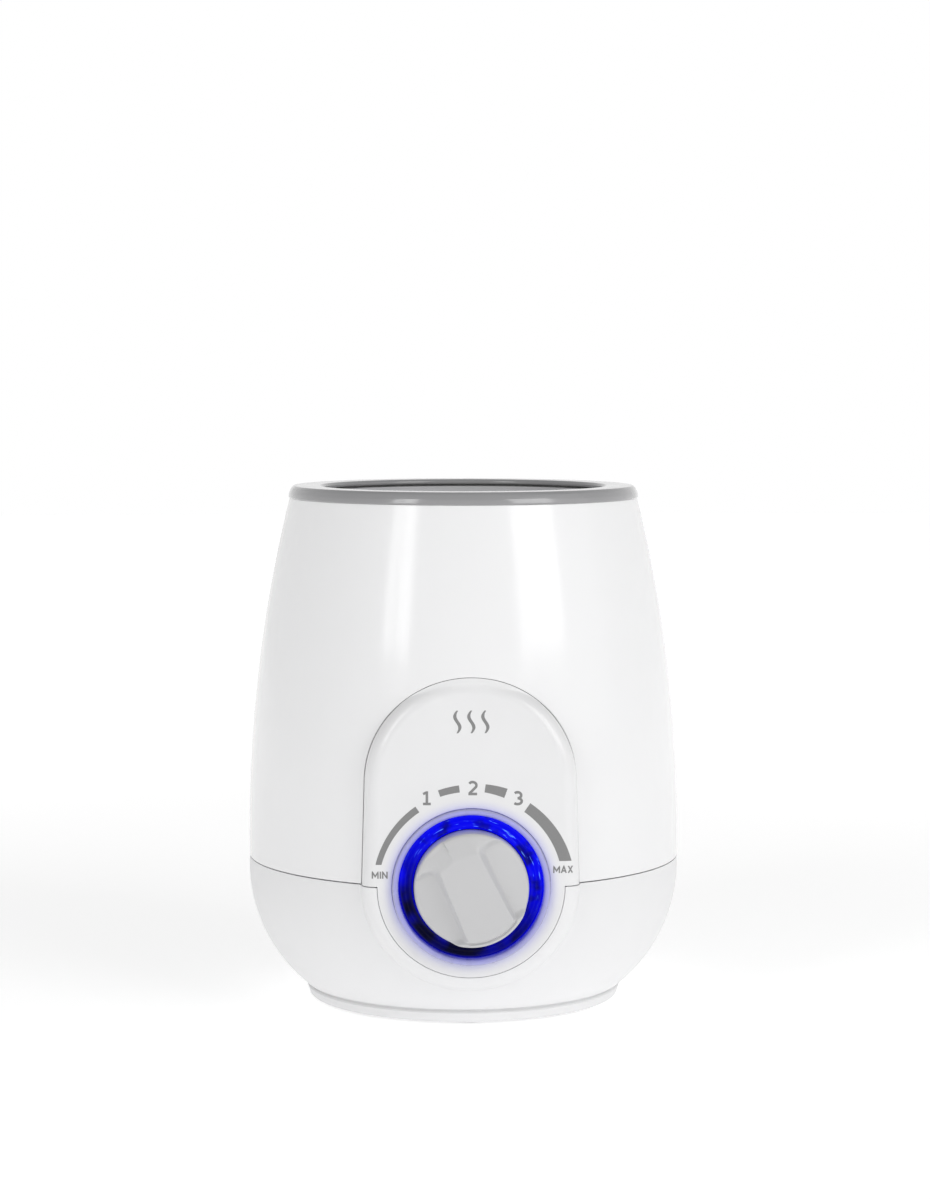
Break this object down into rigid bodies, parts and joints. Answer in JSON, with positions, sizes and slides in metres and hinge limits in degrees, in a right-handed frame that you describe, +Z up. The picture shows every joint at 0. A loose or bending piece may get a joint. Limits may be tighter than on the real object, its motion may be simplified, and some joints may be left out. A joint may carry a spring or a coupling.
{
  "type": "bottle warmer",
  "caption": "Round white bottle warmer with a deep heated water well, a grey rim, and a raised front panel with a lit temperature knob.",
  "frame": {"origin": "on the body's upright axis at the level the rubber feet stand on, one millimetre under the base plate's underside", "axes": "+Z up, the control panel faces -Y, +X to the right seen from the front"},
  "size_m": [0.1374, 0.1442, 0.1642],
  "materials": {
    "shell_white": "high gloss white",
    "panel_white": "smooth white with grey print",
    "base_white": "satin white",
    "rim_grey": "glossy mid grey",
    "foot_rubber": "matt black",
    "silicone": "translucent white silicone",
    "chamber_plastic": "light grey inner chamber",
    "plate_metal": "coated aluminium",
    "steel": "zinc-plated steel",
    "heater_body": "anodised heater sleeve",
    "sensor_black": "epoxy",
    "fuse_white": "ceramic body",
    "bezel_lit": "white lip lit violet by the ring behind it",
    "ring_blue": "clear blue light ring",
    "baffle_dark": "dark",
    "knob_grey": "light grey",
    "brass": "turned",
    "board_green": "solder mask",
    "led_body": "phosphor",
    "relay_blue": "moulded case",
    "cap_yellow": "boxed film",
    "cap_blue": "sleeved can",
    "terminal_green": "moulded",
    "gland_grey": "moulded nylon",
    "wire_red": "silicone insulated wire",
    "wire_white": "thin insulated wire",
    "wire_grey": "flat cable"
  },
  "bodies": {
    "housing": {"upper_housing": "shell_white", "lower_housing": "shell_white", "base_plate": "base_white", "rubber_feet": "foot_rubber", "rim_ring": "rim_grey", "rim_seal": "silicone", "water_chamber": "chamber_plastic", "plate_seal": "silicone", "heating_plate": "plate_metal", "plate_retainer": "steel", "retainer_screws": "steel", "ptc_heater": "heater_body", "heater_clamp": "steel", "clamp_screws": "steel", "thermistor": "sensor_black", "thermal_fuse": "fuse_white", "control_panel": "panel_white", "knob_bezel": "bezel_lit", "light_guide": "ring_blue", "light_baffle": "baffle_dark", "pot_body": "steel", "pot_nut": "brass", "control_board": "board_green", "leds": "led_body", "board_screws": "steel", "power_board": "board_green", "power_board_screws": "steel", "relay": "relay_blue", "film_capacitor": "cap_yellow", "smoothing_capacitor": "cap_blue", "terminal_block": "terminal_green", "case_screws": "steel", "base_screws": "steel", "cord_gland": "gland_grey", "heater_leads": "wire_red", "sensor_leads": "wire_white", "board_cable": "wire_grey"},
    "dial": {"knob": "knob_grey", "knob_shaft": "steel", "knob_spring": "steel"}
  },
  "joints": [
    {"name": "knob_turn", "type": "hinge", "parent": "housing", "child": "dial", "pos_m": [0, -0.0681, 0.046], "axis": [0, 1, 0], "range_deg": [-55, 105]}
  ]
}
